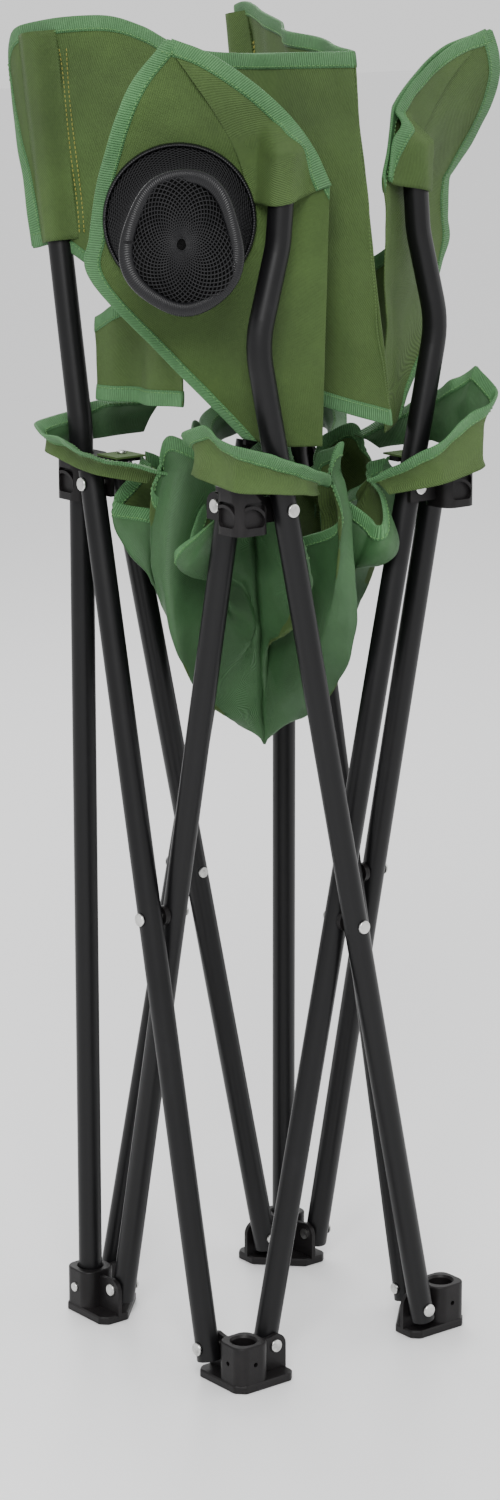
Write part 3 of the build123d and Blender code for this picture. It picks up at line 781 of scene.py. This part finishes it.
# ---------------------------------------------------------------- arms
# edges of the hanging front half of an arm in millimetres: (outward, down from its hold)
FLAP_TOP = ((-26, 50), (-12, 22), (12, -4), (46, -28), (74, -38))
FLAP_OUTER = ((74, -38), (98, -6), (114, 40), (121, 80), (121, 108))
FLAP_FOLD = ((75, 158), (27, 208))
FLAP_FOOT = ((27, 208), (2, 212), (-22, 212))
FLAP_INNER = ((-26, 50), (-24, 130), (-22, 212))
FLAP_KEEP = 0.3           # share of the waves, handed on to Riding
POCKET_INNER = ((72, -33), (46, 4), (30, 34), (24, 60))
POCKET_RIM = ((71, -38), (46, -28), (12, -4), (-12, 22), (-26, 50))
POCKET_MOUTH = (2, 60)
POCKET_ROUND = 12.5       # half width of its rise over the tube
POCKET_STAND = 2.2        # it stands this far off the flap beside the tube
POCKET_COVER = 10.0       # and this far in front of the tube's axis, over the tube
TUBE_CLEAR = 10.6         # the flap hangs this far behind the arm tube's axis
ARM_FACE = radians(51.5)  # from the X axis to the direction behind the flap
TUBE_LEAN = 0.06          # how far outward the tube runs for each millimetre down
TUBE_END = 35.0           # how far below the hold the tube ends
TUBE_OF = {"right": "front_outer_tube", "left": "front_inner_tube"}


def flap_curl(hand, over, fall):
    """How far the left arm's flap turns away from its plane, most of all at the upper tip."""
    if hand == "right":
        return 0 * over
    return np.clip(over, 0, None) * (0.12 + 0.5 * np.clip((60 - fall) / 100, 0, 1))


class ArmFrame:
    """Hold of an arm, with outward along its flap and face straight in behind it."""

    def __init__(self, hand):
        mirror = 1 if hand == "right" else -1
        self.hold = place(f"arm_{hand}_front_hang")
        self.outward = np.array([-mirror * sin(ARM_FACE), cos(ARM_FACE), 0])
        self.face = np.array([mirror * cos(ARM_FACE), sin(ARM_FACE), 0])
        self.mirror = mirror
        self.origin = self.hold + self.face * TUBE_CLEAR * MM

    def spot(self, points, out=0.0):
        """Points of (outward, down) in millimetres, and how far they stand out of the flap's plane."""
        out = np.broadcast_to(np.asarray(out, float), points.shape[:-1])
        return self.origin + (self.outward * points[..., :1] - UP * points[..., 1:2]
                              - self.face * out[..., None]) * MM


def arm_front(hand):
    """Front half of an arm, hanging from the tube with its underside outward."""
    arm = ArmFrame(hand)
    columns, rows = 96, 110
    top = curve(FLAP_TOP[::-1], columns)
    outer = curve((*FLAP_OUTER, *FLAP_FOLD), rows)
    flat = patch(top, curve(FLAP_FOOT, columns), outer, curve(FLAP_INNER, rows))
    over, fall = flat[..., 0], flat[..., 1]
    edge = np.clip((over + 10) / 60, 0, 1)
    billow = 6 * np.sin(over / 24 + 0.8) * np.sin(fall / 46) * edge
    corner = 12 * np.clip((over - 60) / 60, 0, 1) ** 2 * np.clip((90 - fall) / 90, 0, 1)
    tuck = -14 * np.clip((fall - 130) / 80, 0, 1) ** 1.5 * np.clip((over - 10) / 60, 0, 1)
    curl = flap_curl(hand, over, fall)
    if hand == "left":
        tuck = 0 * over
    else:
        dish = np.hypot(over - CUP_AT[0], fall - CUP_AT[1])
        keep = np.clip((dish - CUP_RIM) / 22, 0, 1)
        billow, corner = billow * keep, corner * keep
    grid = arm.spot(flat, billow + corner + tuck + curl)
    grid = ripple(grid, 38, 2.2, seed=21.0 + arm.mirror)
    bound = ("top", "left")
    if np.dot(normals(grid)[rows // 2, columns // 2], arm.face) >= 0:
        grid, bound = grid[:, ::-1], ("top", "right")
    sheet = shell(f"arm_{hand}_front_cloth", grid, BOTH_FACES)
    extras = [tape(f"arm_{hand}_front_tape", grid, bound),
              seam(f"arm_{hand}_front_stitches", edge_seams(grid, bound))]
    motion = Riding(f"arm_front_{hand}", (arm.face, arm.origin, FLAP_KEEP))
    finish_sheet(sheet, extras, motion,
                 (f"arm_front_{hand}",))
    arm_pocket(hand, arm)
    arm_rear(hand, arm)


def arm_pocket(hand, arm):
    """Corner pocket that the end of the arm tube goes up into."""
    columns, rows = 40, 60
    inner, rim = curve(POCKET_INNER, rows), curve(POCKET_RIM, rows)
    top = curve((POCKET_INNER[0], POCKET_RIM[0]), columns)
    mouth = curve((POCKET_INNER[-1], POCKET_MOUTH, POCKET_RIM[-1]), columns)
    flat = patch(top, mouth, inner, rim)
    over, fall = flat[..., 0], flat[..., 1]
    off_tube = (over - TUBE_LEAN * fall) / POCKET_ROUND
    cover = np.clip((fall - TUBE_END + 24) / 18, 0, 1)
    bulge = (TUBE_CLEAR + POCKET_COVER) * np.exp(-off_tube ** 4) * cover + POCKET_STAND
    grid = arm.spot(flat, bulge + flap_curl(hand, over, fall))
    grid = ripple(grid, 26, 1.4, seed=31.0 + arm.mirror)
    edge = "right"
    if np.dot(normals(grid)[rows // 2, columns // 2], arm.face) > 0:
        grid, edge = grid[:, ::-1], "left"
    sheet = shell(f"arm_{hand}_pocket", grid, BOTH_FACES)
    extras = [tape(f"arm_{hand}_pocket_tape", grid, (edge,)),
              seam(f"arm_{hand}_pocket_stitches", edge_seams(grid, (edge,)))]
    finish_sheet(sheet, extras, Riding(TUBE_OF[hand]))


REAR_AIM = (55, 165)      # outward and down from the front hold, where the rear half heads for
REAR_BEHIND = 24.0        # and this far behind it
REAR_START = 12.0         # the ends handed on to Spreading lie at these distances from the post
REAR_END = 118.0
REAR_EDGE = 26.0          # its own edge by the post


def arm_rear(hand, arm):
    """Rear half of an arm: from the back post in behind the hanging front half."""
    hold = place(f"arm_{hand}_rear_hang")
    target = arm.hold + (arm.face * REAR_BEHIND + arm.outward * REAR_AIM[0] - UP * REAR_AIM[1]) * MM
    toward = (target - hold) / np.linalg.norm(target - hold)
    side = np.cross(UP, toward) * arm.mirror
    side /= np.linalg.norm(side)
    columns, rows = 90, 36
    run = np.linspace(REAR_EDGE, REAR_END, columns)[None, :]
    t = np.linspace(0, 1, rows)[:, None]
    high, low = 22 + 0.35 * run, -20 - 0.03 * run      # edges over and under the hold
    rise = high + (low - high) * t
    wave = 5 * np.sin(run / 10 + 2 * t) * np.sin(pi * (run - REAR_EDGE) / (REAR_END - REAR_EDGE))
    run = run + 0 * rise
    grid = hold + (toward * run[..., None] + UP * rise[..., None] + side * wave[..., None]) * MM
    grid = ripple(grid, 30, 1.6, seed=41.0 + arm.mirror)
    sheet = shell(f"arm_{hand}_rear_cloth", grid, BOTH_FACES)
    extras = [tape(f"arm_{hand}_rear_tape", grid, ("top", "bottom")),
              seam(f"arm_{hand}_rear_stitches", edge_seams(grid, ("top", "bottom")))]
    start, end = hold + toward * REAR_START * MM, hold + toward * REAR_END * MM
    motion = Spreading(f"arm_rear_{hand}", f"arm_middle_{hand}", start, end)
    finish_sheet(sheet, extras, motion,
                 (f"arm_rear_{hand}", f"arm_middle_{hand}"))


# ---------------------------------------------------------------- cup holder
CUP_AT = (66.5, 71.0)         # outward and down from the arm's hold
CUP_RIM = 46.0                # radius of the mouth
CUP_FLOOR = (33.0, 40.0)      # half width and half height of the floor, which has sagged
CUP_SAG = 9.0                 # how much lower the floor's middle lies than the mouth's
CUP_DEPTH = 58.0
CUP_CORE = 30.0               # depth of the point toward which the lining is drawn in
CUP_DRAW = 0.02               # and the share of the way
NET_R = 0.42                  # thickness of the net's threads


def cup_ring(arm, share, angle, out, shrink=1.0, extra=0.0):
    """Points round the bag: share is 0 at the mouth and 1 at the floor."""
    wide = (CUP_RIM + (CUP_FLOOR[0] - CUP_RIM) * share) * shrink + extra
    tall = (CUP_RIM + (CUP_FLOOR[1] - CUP_RIM) * share) * shrink + extra
    waver = 1 + 0.035 * share * np.sin(3 * angle + 0.6) + 0.02 * share * np.sin(5 * angle)
    flat = np.stack([CUP_AT[0] - 3 * share + wide * waver * np.cos(angle),
                     CUP_AT[1] + CUP_SAG * share + tall * waver * np.sin(angle)], axis=-1)
    return arm.spot(flat, out)


def cup_holder():
    """Net bag sewn to the underside of the right arm, with a bound rim and a bound round floor."""
    arm = ArmFrame("right")
    around, rows = 120, 44
    angle = np.linspace(0, 2 * pi, around + 1)
    depth = np.linspace(1.5, CUP_DEPTH - 2, rows)
    grid = np.zeros((rows, around + 1, 3))
    for i, deep in enumerate(depth):
        share = deep / CUP_DEPTH
        waist = 1 - 0.13 * sin(pi * share)
        grid[i] = cup_ring(arm, share, angle, deep + 1 + 2.5 * np.sin(2 * angle) * share, waist)
    net = netting("cup_net", grid)
    lining = shell("cup_lining", grid[::2, ::2], ("net", "net"), thick=0.35)
    core = Vector(arm.spot(np.array([CUP_AT]), CUP_CORE)[0])
    for vertex in lining.data.vertices:
        vertex.co = vertex.co + (core - vertex.co) * CUP_DRAW
    rim = ring("cup_rim_tape", arm, 0.0, 1.0, (5.0, 1.6))
    hem = ring("cup_floor_tape", arm, 1.0, CUP_DEPTH - 1, (2.6, 4.4))
    floor, floor_net = disc(arm)
    motion = Riding("arm_front_right")
    for piece in (net, lining, rim, hem, floor, floor_net):
        motion.apply(piece)
    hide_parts("cup_holder_bag")
    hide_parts("cup_holder_ring")


def netting(name, grid):
    """Net of crossed threads over a closed ring of points."""
    rows, columns = grid.shape[:2]
    edges = []
    for i in range(rows - 1):
        for j in range(columns - 1):
            if (i + j) % 2 == 0:
                edges.append((i * columns + j, (i + 1) * columns + j + 1))
            else:
                edges.append((i * columns + j + 1, (i + 1) * columns + j))
    facing = normals(grid).reshape(-1, 3)
    knots = grid.reshape(-1, 3)
    points, faces = [], []
    for a, b in edges:
        first, last = knots[a], knots[b]
        run = last - first
        run /= np.linalg.norm(run)
        side = np.cross(facing[a], run)
        base = len(points)
        for end in (first, last):
            for k in range(3):
                turn = 2 * pi * k / 3
                points.append(end + (facing[a] * cos(turn) + side * sin(turn)) * NET_R * MM)
        for k in range(3):
            faces.append((base + k, base + (k + 1) % 3, base + 3 + (k + 1) % 3, base + 3 + k))
    return mesh_object(name, points, faces, ("thread",), [0] * len(faces),
                       np.zeros((len(points), 2)))


def ring(name, arm, share, deep, section):
    """Round tape: a soft band bent into a ring; section is its half depth and half width."""
    around, sides = 120, 12
    angle = np.linspace(0, 2 * pi, around, endpoint=False)
    courses, uv = [], []
    for k in range(sides):
        turn = 2 * pi * k / sides
        out = deep + section[0] * cos(turn) + 2.5 * np.sin(2 * angle) * share
        courses.append(cup_ring(arm, share, angle, out, 1.0, section[1] * sin(turn)))
        uv.append(np.stack([angle * CUP_RIM * MM, np.full(around, turn * section[1] * MM)], axis=1))
    points = np.stack(courses, axis=1).reshape(-1, 3)
    faces = []
    for j in range(around):
        for k in range(sides):
            after, up = (j + 1) % around, (k + 1) % sides
            faces.append((j * sides + k, j * sides + up, after * sides + up, after * sides + k))
    uv = np.stack(uv, axis=1).reshape(-1, 2)
    return mesh_object(name, points, faces, ("satin",), [0] * len(faces), uv)


def disc(arm):
    """Floor of the bag: a plain round of cloth with a net over it."""
    rings, around = 26, 96
    share = np.linspace(0.006, 1, rings)[:, None]
    angle = np.linspace(0, 2 * pi, around + 1)[None, :] + 0 * share
    flat = cup_ring(arm, 1.0, angle, CUP_DEPTH - 2)
    middle = cup_ring(arm, 1.0, np.zeros(1), CUP_DEPTH - 2)[0]
    opposite = cup_ring(arm, 1.0, np.full(1, pi), CUP_DEPTH - 2)[0]
    middle = (middle + opposite) / 2
    grid = middle + (flat - middle) * share[..., None]
    sag = 4.0 * (1 - share ** 2) + 1.6 * np.sin(3 * angle) * share ** 2
    grid = ripple(grid - arm.face * (sag * MM)[..., None], 16, 1.6, seed=51.0)
    cloth = shell("cup_floor", grid, ("net", "net"), thick=0.6)
    net = netting("cup_floor_net", grid[2:] - arm.face * 1.2 * MM)
    return cloth, net


# ---------------------------------------------------------------- CAD pieces keep their shape
CAD_LOOKS = {"tube": "tube", "plastic": "plastic", "rivet": "rivet", "mesh": "net",
             "mesh_binding": "black_tape", "cloth": "face", "binding": "tape"}


def dress_cad_nodes():
    slots = {part["node"]: part["material_slot"] for part in frame["record"]["subparts"]}
    for name, node in frame["nodes"].items():
        look = LOOKS[CAD_LOOKS[slots[name]]]
        for slot in node.material_slots:
            slot.material = look


camera()
studio()
dress_cad_nodes()
seat()
for hand in ("right", "left"):
    back_half(hand)
    arm_front(hand)
cup_holder()
